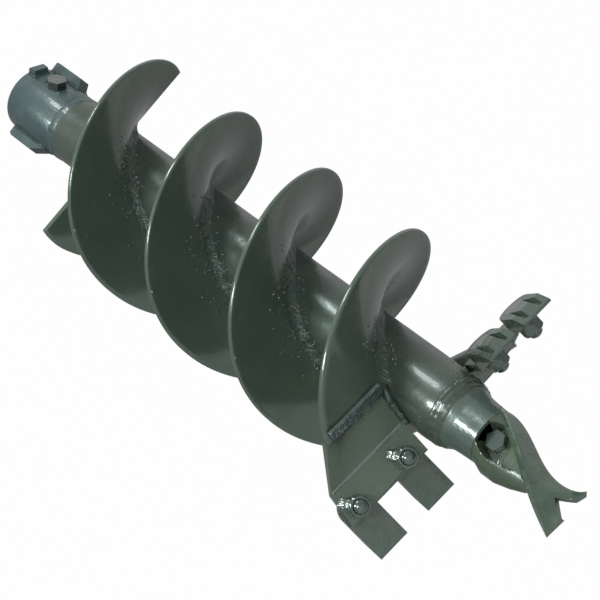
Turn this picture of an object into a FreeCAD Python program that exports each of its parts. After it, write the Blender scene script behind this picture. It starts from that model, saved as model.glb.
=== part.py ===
import FreeCAD, Part
import math
import os
from FreeCAD import Placement, Rotation, Vector

# Double-flight earth auger bit, working pose: +Z along the axis out of the drive hub,
# origin at the centre of the hub's mouth, pilot point down.  +X is the drive bolt's axis.

doc = FreeCAD.newDocument("earth_auger")
GAP = 0.3          # clearance between neighbouring welded or bolted pieces, mm

# ---------------------------------------------------------------- driving dimensions
DIMS = {
    "tube_dia": 70.0, "tube_wall": 6.0, "tube_top": -82.0, "tube_end": -677.0,
    "hub_dia": 71.0, "hub_len": 82.0, "hex_af": 50.8, "hub_chamfer": 2.4,
    "bolt_z": -43.0, "drive_hole_dia": 13.1, "drive_shank_dia": 12.7, "drive_af": 19.0,
    "drive_head": 8.0, "drive_nut_high": 8.0, "drive_seat": 36.6,
    "guard_wide": 14.0, "lug_wide": 17.0,
    "flight_dia": 228.6, "lead": 255.0, "flight_plate": 5.0, "flight_top": -140.0,
    "weld_ring": 3.2,
    "holder_plate": 8.5, "bolt_row": 23.4, "tooth_wide": 33.0, "tooth_long": 64.0,
    "tooth_thick": 9.5, "tooth_back": 8.4, "tooth_bolt_dia": 12.7, "tooth_nut_af": 19.0,
    "tooth_nut_high": 11.5, "tooth_head_dia": 20.6, "tooth_head_deep": 5.0,
    "nose_len": 40.0, "flare_len": 11.0, "neck_dia": 55.0, "nose_tip_dia": 52.0,
    "pocket_floor": 7.0, "pocket_high": 58.0, "pocket_wide": 37.0, "pocket_z": -741.0,
    "pilot_bolt_z": -728.0, "pilot_bolt_dia": 11.1, "pilot_af": 17.0, "pilot_head": 7.0,
    "pilot_nut_high": 9.5, "blade_thick": 8.0,
}
sheet = doc.addObject("Spreadsheet::Sheet", "dims")
for row, (alias, value) in enumerate(DIMS.items(), start=1):
    sheet.set("A%d" % row, alias)
    sheet.set("B%d" % row, str(value))
    sheet.setAlias("B%d" % row, alias)
doc.recompute()


def dim(alias):
    return float(sheet.get(alias))


# ---------------------------------------------------------------- small helpers
def bind(obj, **expressions):
    """Bind properties of a feature to expressions over the dimension sheet."""
    for prop, text in expressions.items():
        obj.setExpression(prop, str(text))
    return obj


def add(kind, name, at=None, **expressions):
    obj = doc.addObject("Part::" + kind, name)
    if at is not None:
        obj.Placement = at
    return bind(obj, **expressions)


def cylinder(name, radius, height, at=None):
    return add("Cylinder", name, at, Radius=radius, Height=height)


def box(name, length, width, height, at=None):
    return add("Box", name, at, Length=length, Width=width, Height=height)


def hexagon(name, across_flats, height, at=None):
    obj = add("Prism", name, at, Circumradius="(%s) / sqrt(3)" % across_flats, Height=height)
    obj.Polygon = 6
    return obj


def cut(name, base, *tools):
    """Cut the tools from the base, fusing them first when there is more than one."""
    obj = doc.addObject("Part::Cut", name)
    obj.Base = base
    obj.Tool = tools[0] if len(tools) == 1 else fuse(name + "_tools", *tools)
    return obj


def fuse(name, *shapes):
    obj = doc.addObject("Part::MultiFuse", name)
    obj.Shapes = list(shapes)
    return obj


def group(name, *shapes):
    obj = doc.addObject("Part::Compound", name)
    obj.Links = list(shapes)
    return obj


def common(name, base, tool):
    obj = doc.addObject("Part::Common", name)
    obj.Base = base
    obj.Tool = tool
    return obj


def polygon(name, points):
    obj = doc.addObject("Part::Polygon", name)
    obj.Nodes = [Vector(p) for p in points]
    obj.Close = True
    return obj


def loft(name, sections, ruled=True):
    obj = doc.addObject("Part::Loft", name)
    obj.Sections = sections
    obj.Solid = True
    obj.Ruled = ruled
    return obj


def turn_z(degrees, z=0.0):
    return Placement(Vector(0, 0, z), Rotation(Vector(0, 0, 1), degrees))


def lay_on(point, x_dir, z_dir):
    """Placement whose local X and Z run along the two given directions."""
    z_axis = Vector(z_dir).normalize()
    x_axis = Vector(x_dir).normalize()
    y_axis = z_axis.cross(x_axis)
    return Placement(Vector(point), Rotation(x_axis, y_axis, z_axis, "ZXY"))


X_OUT = Vector(1, 0, 0)
nodes = {}


def node(name, obj):
    obj.Label = name
    nodes[name] = obj


# ---------------------------------------------------------------- drive hub and core tube
hub_barrel = cylinder("hub_barrel", "dims.hub_dia / 2", "dims.hub_len - dims.hub_chamfer",
                      turn_z(0, -dim("hub_len")))
hub_lip = add("Cone", "hub_lip", turn_z(0, -dim("hub_chamfer")), Radius1="dims.hub_dia / 2",
              Radius2="dims.hub_dia / 2 - dims.hub_chamfer", Height="dims.hub_chamfer")
hub_solid = fuse("hub_solid", hub_barrel, hub_lip)
hex_bore = hexagon("hex_bore", "dims.hex_af", "dims.hub_len + 10",
                   turn_z(30, -dim("hub_len") - 5))
cross_hole = cylinder("cross_hole", "dims.drive_hole_dia / 2", "dims.hub_dia + 20",
                      lay_on((-dim("hub_dia") / 2 - 10, 0, dim("bolt_z")), (0, 1, 0), X_OUT))
hub_rough = cut("hub_rough", hub_solid, hex_bore, cross_hole)
spot_faces = []
for sign, side in ((1, "head"), (-1, "nut")):
    seat = cylinder("spot_" + side, "dims.drive_af / 2 + 4.5", 10,
                    lay_on((sign * 34.4, 0, dim("bolt_z")), (0, 1, 0), (sign, 0, 0)))
    spot_faces.append(seat)
node("drive_hub", cut("hub_spotted", hub_rough, *spot_faces))

tube_length = "dims.tube_top - dims.tube_end - 0.6"
tube_at = Placement(Vector(0, 0, dim("tube_end") + GAP), Rotation())
tube_outer = cylinder("tube_outer", "dims.tube_dia / 2", tube_length, tube_at)
tube_inner = cylinder("tube_inner", "dims.tube_dia / 2 - dims.tube_wall", tube_length, tube_at)
node("core_tube", cut("tube_bored", tube_outer, tube_inner))


def ring_bead(name, radius, z):
    """Raised weld bead round a joint: a torus less everything inside the joined tubes."""
    torus = add("Torus", name + "_torus", turn_z(0, z), Radius1=radius,
                Radius2="dims.weld_ring")
    inside = cylinder(name + "_inside", radius + " + 0.1", 40, turn_z(0, z - 20))
    return cut(name, torus, inside)


node("hub_weld", ring_bead("hub_bead", "dims.hub_dia / 2", dim("tube_top")))
node("nose_weld", ring_bead("nose_bead", "dims.tube_dia / 2", dim("tube_end")))

# ---------------------------------------------------------------- drive bolt, nut and guards
seat_r = dim("drive_seat") - 2.0
head_at = lay_on((seat_r, 0, dim("bolt_z")), (0, 1, 0), X_OUT)
drive_head = hexagon("drive_head", "dims.drive_af", "dims.drive_head", head_at)
shank_start = -seat_r - dim("drive_nut_high") - 1.6
drive_shank = cylinder("drive_shank", "dims.drive_shank_dia / 2", seat_r - shank_start + 1,
                       lay_on((shank_start, 0, dim("bolt_z")), (0, 1, 0), X_OUT))
node("drive_bolt", fuse("drive_bolt_solid", drive_head, drive_shank))

nut_at = lay_on((-seat_r - GAP, 0, dim("bolt_z")), (0, 1, 0), (-1, 0, 0))
nut_body = hexagon("drive_nut_body", "dims.drive_af", "dims.drive_nut_high", nut_at)
nut_bore = cylinder("drive_nut_bore", "dims.drive_shank_dia / 2 + 0.05", 40,
                    lay_on((-seat_r + 5, 0, dim("bolt_z")), (0, 1, 0), (-1, 0, 0)))
node("drive_nut", cut("drive_nut_solid", nut_body, nut_bore))


def radial_block(name, angle, wide, profile):
    """Plate standing on the hub at an angle; profile gives its (radius, z) corners."""
    turn = Rotation(Vector(0, 0, 1), angle)
    start = turn.multVec(Vector(0, -dim(wide) / 2, 0))
    line = polygon(name + "_line", [start + turn.multVec(Vector(r, 0, z)) for r, z in profile])
    block = doc.addObject("Part::Extrusion", name + "_block")
    block.Base = line
    block.DirMode = "Custom"
    block.Dir = turn.multVec(Vector(0, 1, 0))
    block.Solid = True
    bind(block, LengthFwd="dims." + wide)
    core = cylinder(name + "_core", "dims.hub_dia / 2 + 0.1", 200, turn_z(0, -150))
    return cut(name, block, core)


BAR_UPPER = ((29.0, -3.0), (45.0, -3.0), (46.0, -6.0), (46.0, -47.0), (36.0, -53.0), (29.0, -53.0))
BAR_LOWER = ((29.0, -8.0), (44.0, -8.0), (46.0, -12.0), (46.0, -46.0), (35.6, -66.0), (29.0, -66.0))
LUG = ((29.0, -2.6), (39.5, -2.6), (41.5, -5.0), (41.5, -14.0), (29.0, -15.0))
guard_bars = [radial_block("guard_bar_0", 45, "guard_wide", BAR_UPPER),
              radial_block("guard_bar_1", 225, "guard_wide", BAR_LOWER)]
guard_lugs = [radial_block("guard_lug_0", 0, "lug_wide", LUG),
              radial_block("guard_lug_1", 180, "lug_wide", LUG)]
node("guard_bars", group("guard_bar_pair", *guard_bars))
node("guard_lugs", group("guard_lug_pair", *guard_lugs))

# ---------------------------------------------------------------- helical flights
START_A = 50.0                      # azimuth where lead A leaves the tube's top
START_B = START_A + 180.0
SEAM_A = (141.0, 501.0)             # turning angle from the start to each butt weld
SEAM_B = (321.0,)
END_TURN = 700.0                    # long enough for the end to be trimmed
SECTOR_MAX = 75.0                   # longest helicoid sector, degrees


def flight_sector(name, start_azimuth, turn_from, turn_to):
    """Helicoid plate over a short arc: two helical rails, ruled and thickened upward."""
    lead = dim("lead")
    foot_z = dim("flight_top") - lead * turn_to / 360.0 - dim("flight_plate") / 2
    at = turn_z(start_azimuth - turn_to, foot_z)
    rails = []
    for side, radius in (("in", "dims.tube_dia / 2 + 0.3"), ("out", "dims.flight_dia / 2")):
        rail = add("Helix", "%s_%s" % (name, side), at, Pitch="dims.lead", Radius=radius)
        rail.Height = lead * (turn_to - turn_from) / 360.0
        rails.append(rail)
    skin = doc.addObject("Part::RuledSurface", name + "_skin")
    skin.Curve1 = (rails[0], ["Edge1"])
    skin.Curve2 = (rails[1], ["Edge1"])
    skin.Orientation = "Forward"
    plate = doc.addObject("Part::Extrusion", name + "_plate")
    plate.Base = skin
    plate.DirMode = "Custom"
    plate.Dir = Vector(0, 0, 1)
    return bind(plate, LengthFwd="dims.flight_plate")


def flight_piece(name, start_azimuth, turn_from, turn_to):
    """Flight section between two turning angles below the start, made of short sectors."""
    count = math.ceil((turn_to - turn_from) / SECTOR_MAX)
    step = (turn_to - turn_from) / count
    sectors = [flight_sector("%s_%d" % (name, index), start_azimuth,
                             turn_from + index * step, turn_from + (index + 1) * step)
               for index in range(count)]
    return fuse(name, *sectors)


# The flight's lower end is trimmed along a straight line, TRIM_BACK behind the axis.
TRIM_AZIMUTH = -107.5
TRIM_BACK = 18.9


def end_trimmer(name, azimuth):
    """Box that removes everything ahead of the flight's trimmed end."""
    along = Vector(math.cos(math.radians(azimuth)), math.sin(math.radians(azimuth)), 0)
    ahead = Vector(along.y, -along.x, 0)
    reach = 160
    corner = ahead * (reach - TRIM_BACK) + Vector(0, 0, -700)
    return box(name, reach, reach, 120, lay_on(corner, along, Vector(0, 0, 1)))


ARC_GAP = 0.15                      # half the butt joint's gap, degrees
edges_a = (0.0,) + SEAM_A + (END_TURN,)
edges_b = (0.0,) + SEAM_B + (END_TURN,)
for lead_name, start, edges, names, trim in (
        ("a", START_A, edges_a, ("upper", "middle", "lower"), TRIM_AZIMUTH + 180),
        ("b", START_B, edges_b, ("upper", "lower"), TRIM_AZIMUTH)):
    for piece, part_name in enumerate(names):
        first = edges[piece] + (ARC_GAP if piece else 0)
        last = edges[piece + 1] - (ARC_GAP if piece + 1 < len(names) else 0)
        label = "flight_%s_%s" % (lead_name, part_name)
        plate = flight_piece(label + "_raw", start, first, last)
        if part_name == "lower":
            plate = cut(label + "_cut", plate, end_trimmer(label + "_trim", trim))
        node(label, plate)

# ---------------------------------------------------------------- tooth holders
# Each holder is a bent plate.  HOLD_AZIMUTH is the direction its lines run outward; "ahead"
# is the cutting direction.  Rows give (out, ahead, z) of the underside's corners.
HOLD_AZIMUTH_B = -121.6
BEND_AHEAD = -10.0
BEND_Z = -644.0
SLOPE = 47.2                        # fall of the tooth seat below level, degrees
SEAT_LONG = 33.0
ROOT_IN = (23.7, -26.2, -611.0)
ROOT_OUT = (103.6, -48.3, -628.0)
ROOT_GAP = 3.2                      # room for the weld at the flight's end, mm


def holder_axes(azimuth):
    out = Vector(math.cos(math.radians(azimuth)), math.sin(math.radians(azimuth)), 0)
    ahead = Vector(out.y, -out.x, 0)
    return out, ahead


def holder_point(azimuth, out_mm, ahead_mm, z):
    out, ahead = holder_axes(azimuth)
    return out * out_mm + ahead * ahead_mm + Vector(0, 0, z)


def seat_point(azimuth, out_mm, down_mm, lift_mm):
    """Point on or above the sloping tooth seat, measured from the bend line."""
    slope = math.radians(SLOPE)
    ahead_mm = BEND_AHEAD + down_mm * math.cos(slope) + lift_mm * math.sin(slope)
    z = BEND_Z - down_mm * math.sin(slope) + lift_mm * math.cos(slope)
    return holder_point(azimuth, out_mm, ahead_mm, z)


def seat_directions(azimuth):
    slope = math.radians(SLOPE)
    out, ahead = holder_axes(azimuth)
    down = ahead * math.cos(slope) - Vector(0, 0, math.sin(slope))
    lift = ahead * math.sin(slope) + Vector(0, 0, math.cos(slope))
    return out, down, lift


def section(name, inner, outer, lift):
    return polygon(name, [inner, outer, outer + lift, inner + lift])


def seat_bolt_hole(name, azimuth, out_mm, radius_text):
    out, down, lift = seat_directions(azimuth)
    return cylinder(name, radius_text, 60,
                    lay_on(seat_point(azimuth, out_mm, dim("bolt_row"), -30), out, lift))


def tooth_holder(name, azimuth, bend_out, edge_out, bolts_out):
    plate = dim("holder_plate")
    out, down, lift = seat_directions(azimuth)
    _, ahead = holder_axes(azimuth)
    root_in = holder_point(azimuth, *ROOT_IN) + ahead * ROOT_GAP
    root_out = holder_point(azimuth, *ROOT_OUT) + ahead * ROOT_GAP
    root_lift = (ahead * 0.35 + Vector(0, 0, 1)).normalize() * plate
    bend_lift = lift * plate
    seat_in = 38.5
    sections = [
        section(name + "_root", root_in, root_out, root_lift),
        section(name + "_bend", seat_point(azimuth, seat_in, 0, 0),
                seat_point(azimuth, bend_out, 0, 0), bend_lift),
        section(name + "_edge", seat_point(azimuth, seat_in + 1.5, SEAT_LONG, 0),
                seat_point(azimuth, edge_out, SEAT_LONG, 0), bend_lift),
    ]
    body = loft(name + "_body", sections)
    tools = [cylinder(name + "_round", "dims.tube_dia / 2 + 0.4", 200, turn_z(0, -760))]
    for index, out_mm in enumerate(bolts_out):
        tools.append(seat_bolt_hole("%s_hole%d" % (name, index), azimuth, out_mm,
                                    "dims.tooth_bolt_dia / 2 + 0.3"))
    return cut(name, body, *tools)


HOLDERS = {
    "a": {"azimuth": HOLD_AZIMUTH_B + 180, "bend_out": 114.0, "edge_out": 118.0,
          "teeth": {"inner": 58.5, "outer": 102.0}},
    "b": {"azimuth": HOLD_AZIMUTH_B, "bend_out": 130.0, "edge_out": 135.0,
          "teeth": {"inner": 59.5, "outer": 119.5}},
}
for key, spec in HOLDERS.items():
    node("tooth_holder_" + key,
         tooth_holder("holder_" + key, spec["azimuth"], spec["bend_out"], spec["edge_out"],
                      list(spec["teeth"].values())))

# ---------------------------------------------------------------- teeth and their fasteners
tooth_bolts = []
tooth_nuts = []


def tooth(name, azimuth, out_mm):
    """Chisel tooth: rounded back, bevelled edge, two V flutes beside a raised rib."""
    out, down, lift = seat_directions(azimuth)
    back = dim("tooth_back") + dim("tooth_wide") / 2
    base_lift = dim("holder_plate") + GAP
    origin = seat_point(azimuth, out_mm, back, base_lift)
    at = lay_on(origin, down, lift)
    wide = dim("tooth_wide")
    thick = dim("tooth_thick")
    straight = dim("tooth_long") - wide / 2
    blank_at = Placement(at.multVec(Vector(0, -wide / 2, 0)), at.Rotation)
    blank = box(name + "_blank", "dims.tooth_long - dims.tooth_wide / 2", "dims.tooth_wide",
                "dims.tooth_thick", blank_at)
    heel = cylinder(name + "_heel", "dims.tooth_wide / 2", "dims.tooth_thick", at)
    body = fuse(name + "_body", blank, heel)
    tools = []
    bevel_pts = [(straight - 17, thick), (straight + 1, thick), (straight + 1, 2.2)]
    bevel = polygon(name + "_bevel_line",
                    [at.multVec(Vector(x, -wide, z)) for x, z in bevel_pts])
    bevel_cut = doc.addObject("Part::Extrusion", name + "_bevel")
    bevel_cut.Base = bevel
    bevel_cut.DirMode = "Custom"
    bevel_cut.Dir = at.Rotation.multVec(Vector(0, 1, 0))
    bevel_cut.LengthFwd = 2 * wide
    bevel_cut.Solid = True
    tools.append(bevel_cut)
    for side in (-1, 1):
        flute = []
        for x, half, z in ((9.0, 1.2, thick - 1.0), (straight - 3, 6.8, thick - 5.6)):
            mid = side * wide / 4
            pts = [Vector(x, mid - half, thick + 3), Vector(x, mid + half, thick + 3),
                   Vector(x, mid + half * 0.15, z - 1), Vector(x, mid - half * 0.15, z - 1)]
            flute.append(polygon("%s_flute%d_%d" % (name, side + 1, len(flute)),
                                 [at.multVec(p) for p in pts]))
        tools.append(loft("%s_flute_cut%d" % (name, side + 1), flute))
    hole_x = dim("bolt_row") - back
    tools.append(cylinder(name + "_hole", "dims.tooth_bolt_dia / 2 + 0.2", 40,
                          lay_on(at.multVec(Vector(hole_x, 0, -10)), down, lift)))
    tools.append(cylinder(name + "_sink", "dims.tooth_head_dia / 2 + 0.3", 20,
                          lay_on(at.multVec(Vector(hole_x, 0,
                                                   thick - dim("tooth_head_deep") - 0.3)),
                                 down, lift)))
    return cut(name, body, *tools)


def tooth_fasteners(name, azimuth, out_mm):
    out, down, lift = seat_directions(azimuth)
    row = dim("bolt_row")
    top = dim("holder_plate") + GAP + dim("tooth_thick")
    head_deep = dim("tooth_head_deep")
    foot = -dim("tooth_nut_high") - 2.0
    head = cylinder(name + "_head", "dims.tooth_head_dia / 2", "dims.tooth_head_deep",
                    lay_on(seat_point(azimuth, out_mm, row, top - head_deep), down, lift))
    shank = cylinder(name + "_shank", "dims.tooth_bolt_dia / 2", top - head_deep - foot + 1,
                     lay_on(seat_point(azimuth, out_mm, row, foot), down, lift))
    dome = add("Sphere", name + "_dome",
               Placement(seat_point(azimuth, out_mm, row, foot + 5.0), Rotation()),
               Radius="8.6")
    end_trim = cylinder(name + "_end", "dims.tooth_bolt_dia / 2", 12,
                        lay_on(seat_point(azimuth, out_mm, row, foot - 6), down, lift))
    tip = common(name + "_tip", dome, end_trim)
    tooth_bolts.append(fuse(name + "_bolt", head, shank, tip))
    body = hexagon(name + "_nut_body", "dims.tooth_nut_af", "dims.tooth_nut_high",
                   lay_on(seat_point(azimuth, out_mm, row, -GAP), down, -lift))
    bore = cylinder(name + "_nut_bore", "dims.tooth_bolt_dia / 2 + 0.1", 60,
                    lay_on(seat_point(azimuth, out_mm, row, -30), down, lift))
    tooth_nuts.append(cut(name + "_nut", body, bore))


for key, spec in HOLDERS.items():
    for place, out_mm in spec["teeth"].items():
        label = "tooth_%s_%s" % (key, place)
        node(label, tooth(label + "_solid", spec["azimuth"], out_mm))
        tooth_fasteners("tooth_%s_%s_fix" % (key, place), spec["azimuth"], out_mm)
node("tooth_bolts", group("tooth_bolt_set", *tooth_bolts))
node("tooth_nuts", group("tooth_nut_set", *tooth_nuts))

# ---------------------------------------------------------------- nose, socket and pilot
ACROSS = Vector(math.cos(math.radians(45)), math.sin(math.radians(45)), 0)
FACING = Vector(math.cos(math.radians(-45)), math.sin(math.radians(-45)), 0)


def nose_point(across, facing, z):
    return ACROSS * across + FACING * facing + Vector(0, 0, z)


nose_top = dim("tube_end") - GAP
nose_at = Placement(Vector(0, 0, nose_top), Rotation(Vector(1, 0, 0), 180))
flare = add("Cone", "nose_flare", nose_at, Radius1="dims.tube_dia / 2",
            Radius2="dims.neck_dia / 2", Height="dims.flare_len")
neck_at = Placement(Vector(0, 0, nose_top - dim("flare_len")), Rotation(Vector(1, 0, 0), 180))
neck = add("Cone", "nose_neck", neck_at, Radius1="dims.neck_dia / 2",
           Radius2="dims.nose_tip_dia / 2", Height="dims.nose_len - dims.flare_len")
nose_outer = fuse("nose_outer", flare, neck)
nose_inner = add("Cone", "nose_inner", nose_at, Radius1="dims.neck_dia / 2 - 1",
                 Radius2="dims.nose_tip_dia / 2 - dims.tube_wall", Height="dims.nose_len")

BLADE = (   # z, near edge (across, facing), far edge (across, facing)
    (-711.0, (23.0, 12.0), (22.0, 0.0)),
    (-735.0, (13.0, 13.0), (19.5, -6.0)),
    (-758.0, (-1.0, 12.5), (9.0, -9.0)),
    (-778.0, (-14.0, 13.0), (2.0, -9.0)),
    (-798.0, (-26.0, 13.0), (1.0, -10.0)),
    (-820.0, (-38.5, 10.0), (11.5, -7.0)),
)


def blade_solid(name, grow):
    half = dim("blade_thick") / 2 + grow
    sections = []
    for index, (z, near, far) in enumerate(BLADE):
        near_v = Vector(near[0], near[1], 0)
        far_v = Vector(far[0], far[1], 0)
        along = (far_v - near_v).normalize()
        side = Vector(-along.y, along.x, 0)
        near_v = near_v - along * grow
        far_v = far_v + along * grow
        if index == 0:
            z = z + grow
        corners = [near_v - side * half, far_v - side * half,
                   far_v + side * half, near_v + side * half]
        sections.append(polygon("%s_%d" % (name, index),
                                [nose_point(c.x, c.y, z) for c in corners]))
    return loft(name, sections, ruled=False)


blade_slot = blade_solid("blade_slot", 0.4)
nose_body = cut("nose_bored", nose_outer, nose_inner)
node("nose_cone", cut("nose_solid", nose_body, blade_slot))

socket_top = nose_top - dim("nose_len") - GAP
SOCKET = (  # drop below the nose, centre across, half width across, half depth facing
    (0.0, 0.0, 26.2, 26.0), (11.0, -4.5, 25.8, 24.5), (25.0, -8.5, 21.8, 20.0),
    (41.0, -10.5, 16.0, 14.5), (55.0, -11.0, 10.5, 10.0),
)
socket_rings = []
for index, (drop, centre, across, facing) in enumerate(SOCKET):
    ring = doc.addObject("Part::Ellipse", "socket_ring_%d" % index)
    ring.MajorRadius = across
    ring.MinorRadius = facing
    ring.Placement = Placement(nose_point(centre, 0, socket_top - drop),
                               Rotation(Vector(0, 0, 1), 45))
    socket_rings.append(ring)
socket_body = loft("socket_body", socket_rings)
pockets = []
for sign, side in ((1, "near"), (-1, "far")):
    floor = nose_point(0, sign * dim("pocket_floor"), dim("pocket_z"))
    pocket = add("Ellipsoid", "pocket_" + side)
    pocket.Radius1 = 60
    pocket.Angle1 = -90
    pocket.Angle2 = 90
    pocket.Placement = lay_on(nose_point(0, sign * 40, dim("pocket_z")),
                              Vector(0, 0, 1), FACING * sign)
    bind(pocket, Radius2="dims.pocket_high / 2", Radius3="dims.pocket_wide / 2")
    clip = box("pocket_clip_" + side, 80, 80, 60,
               lay_on(floor + Vector(0, 0, -40) + ACROSS * (40 * sign),
                      Vector(0, 0, 1), FACING * sign))
    pockets.append(common("pocket_cut_" + side, pocket, clip))
bolt_line = lay_on(nose_point(0, -40, dim("pilot_bolt_z")), ACROSS, FACING)
pilot_hole = cylinder("pilot_hole", "dims.pilot_bolt_dia / 2 + 0.3", 80, bolt_line)
node("pilot_socket", cut("socket_solid", socket_body, *pockets, pilot_hole, blade_slot))

blade = blade_solid("blade", 0.0)
NOTCH = ((-9.0, -801.0), (-19.5, -817.0), (-19.0, -840.0), (40.0, -840.0), (11.8, -818.4),
         (-1.5, -814.5))            # (across, z) outline of the gap between the two tines
notch_line = polygon("notch_line", [nose_point(x, -60, z) for x, z in NOTCH])
notch = doc.addObject("Part::Extrusion", "notch")
notch.Base = notch_line
notch.DirMode = "Custom"
notch.Dir = FACING
notch.LengthFwd = 120
notch.Solid = True
node("pilot_blade", cut("blade_forked", blade, notch))

floor_mm = dim("pocket_floor")
pilot_head = hexagon("pilot_head", "dims.pilot_af", "dims.pilot_head",
                     lay_on(nose_point(0, floor_mm + GAP, dim("pilot_bolt_z")), Vector(0, 0, 1),
                            FACING))
pilot_foot = -floor_mm - dim("pilot_nut_high") - 3
pilot_shank = cylinder("pilot_shank", "dims.pilot_bolt_dia / 2",
                       floor_mm + GAP - pilot_foot + 1,
                       lay_on(nose_point(0, pilot_foot, dim("pilot_bolt_z")), ACROSS, FACING))
node("pilot_bolt", fuse("pilot_bolt_solid", pilot_head, pilot_shank))
pilot_nut_body = hexagon("pilot_nut_body", "dims.pilot_af", "dims.pilot_nut_high",
                         lay_on(nose_point(0, -floor_mm - GAP, dim("pilot_bolt_z")),
                                Vector(0, 0, 1), -FACING))
pilot_nut_bore = cylinder("pilot_nut_bore", "dims.pilot_bolt_dia / 2 + 0.1", 60,
                          lay_on(nose_point(0, -60, dim("pilot_bolt_z")), ACROSS, FACING))
node("pilot_nut", cut("pilot_nut_solid", pilot_nut_body, pilot_nut_bore))

# ---------------------------------------------------------------- check and export
doc.recompute()
for obj in doc.Objects:
    if "Invalid" in obj.State or "Error" in obj.State:
        raise RuntimeError("feature failed: %s %s" % (obj.Name, obj.State))
os.makedirs("parts", exist_ok=True)
for name, obj in nodes.items():
    shape = obj.Shape
    if shape.isNull() or not shape.isValid() or not shape.Solids:
        raise RuntimeError("bad shape: " + name)
    shape.exportStep("parts/%s.step" % name)
    bb = shape.BoundBox
    print("%-18s solids %d vol %9.0f z %.1f..%.1f r %.1f" % (
        name, len(shape.Solids), shape.Volume, bb.ZMin, bb.ZMax,
        max(abs(bb.XMin), abs(bb.XMax), abs(bb.YMin), abs(bb.YMax))))
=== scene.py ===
import math
import random

import bmesh
import bpy
from mathutils import Matrix, Vector, noise


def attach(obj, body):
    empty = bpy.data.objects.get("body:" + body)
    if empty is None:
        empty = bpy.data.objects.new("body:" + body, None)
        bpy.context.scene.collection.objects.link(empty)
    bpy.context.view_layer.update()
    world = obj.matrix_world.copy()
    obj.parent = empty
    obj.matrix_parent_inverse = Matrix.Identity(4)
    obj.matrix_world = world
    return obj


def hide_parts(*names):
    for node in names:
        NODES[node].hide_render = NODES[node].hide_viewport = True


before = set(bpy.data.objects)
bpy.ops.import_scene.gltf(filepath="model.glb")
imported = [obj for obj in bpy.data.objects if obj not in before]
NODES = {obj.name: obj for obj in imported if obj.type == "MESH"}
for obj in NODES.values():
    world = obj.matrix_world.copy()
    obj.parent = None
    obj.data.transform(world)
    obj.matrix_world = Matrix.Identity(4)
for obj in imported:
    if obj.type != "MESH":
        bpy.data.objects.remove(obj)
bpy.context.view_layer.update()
MM = 0.001                          # lengths below are millimetres, Blender's are metres

# ------------------------------------------------------------------ sizes, mm
TUBE_R = 35.0                       # core tube, outside radius
HUB_R = 35.5                        # drive hub, outside radius
RIM_R = 114.3                       # flights, outside radius
RIM_SLACK = 5.6                     # how much smaller the rim is on its low side
LEAD = 255.0                        # a flight's rise in one turn
PLATE = 5.0                         # a flight's thickness
FLIGHT_TOP = -140.0                 # z where both flights start
TRIM_BACK = 18.9                    # from the axis to the line that trims a flight's end
A_START, A_TRIM = 50.0, 72.5        # flight a: azimuths of its start and its trim line, degrees
B_START, B_TRIM = 230.0, -107.5     # flight b
SEAM_A_UPPER, SEAM_A_LOWER, SEAM_B = 141.0, 501.0, 321.0    # turning angles of the butt welds

HOLDER_AZIMUTH = -121.6             # tooth holder b, degrees; holder a is opposite
SLOPE = math.radians(47.2)          # a holder's seat, below level
BEND_AHEAD = -10.0                  # a holder's bend line, ahead of the axis
BEND_Z = -644.0
SEAT_IN = 38.5                      # a seat's inner edge, out from the axis
BOLT_ROW = 23.4                     # tooth bolts, down the seat from the bend line
ROOT_IN = (23.7, -26.2, -611.0)     # ends of a holder's upper edge: out, ahead, z
ROOT_OUT = (103.6, -48.3, -628.0)
ROOT_GAP = 3.2                      # from that edge to the flight

STRAP_IN, STRAP_OUT = 42.0, 106.0   # radii of the ends of the weld strap over a holder's root
STRAP_WIDE = 12.5
NUT_FLATS, NUT_HIGH, NUT_BORE = 19.0, 11.5, 6.5
NUT_LIP = 0.8                       # chamfer of a nut's bore
BOLT_R = 6.35
TACK_AWAY, TACK_LONG = 8.9, 11.0    # weld that locks a nut: distance from its centre, length


# ------------------------------------------------------------------ camera and stage
def make_camera():
    """The photograph's viewing angle, from a fit of the camera to the photograph; metres."""
    data = bpy.data.cameras.new("camera")
    data.sensor_width = 36
    data.lens = 128.0
    data.clip_end = 50
    cam = bpy.data.objects.new("camera", data)
    bpy.context.scene.collection.objects.link(cam)
    right = Vector((0.07008, 0.77404, -0.62925))
    up = Vector((0.82918, 0.30548, 0.46812))
    ahead = Vector((-0.55457, 0.55457, 0.62041))
    place = Matrix((right, up, -ahead)).transposed().to_4x4()
    place.translation = Vector((1.10736, -1.11226, -1.69703))
    cam.matrix_world = place
    bpy.context.scene.camera = cam


def link(obj):
    """Add an object to the scene and return it."""
    bpy.context.scene.collection.objects.link(obj)
    return obj


def make_mesh(name, verts, faces, material, smooth=True, sharp=None):
    """Mesh object from millimetres, normals outward, sharp where faces meet past an angle."""
    mesh = bpy.data.meshes.new(name)
    mesh.from_pydata([Vector(v) * MM for v in verts], [], faces)
    mesh.validate()
    solid = bmesh.new()
    solid.from_mesh(mesh)
    bmesh.ops.recalc_face_normals(solid, faces=solid.faces)
    solid.to_mesh(mesh)
    solid.free()
    mesh.materials.append(material)
    if smooth:
        mesh.shade_smooth()
        if sharp:
            mesh.set_sharp_from_angle(angle=math.radians(sharp))
    return link(bpy.data.objects.new(name, mesh))


def piece(name, verts, faces, material, slot="enamel", replaces=(), sharp=35):
    """A detailed piece on the auger's body."""
    obj = make_mesh(name, verts, faces, material, sharp=sharp)
    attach(obj, "auger")
    if replaces:
        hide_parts(*replaces)
    return obj


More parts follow.
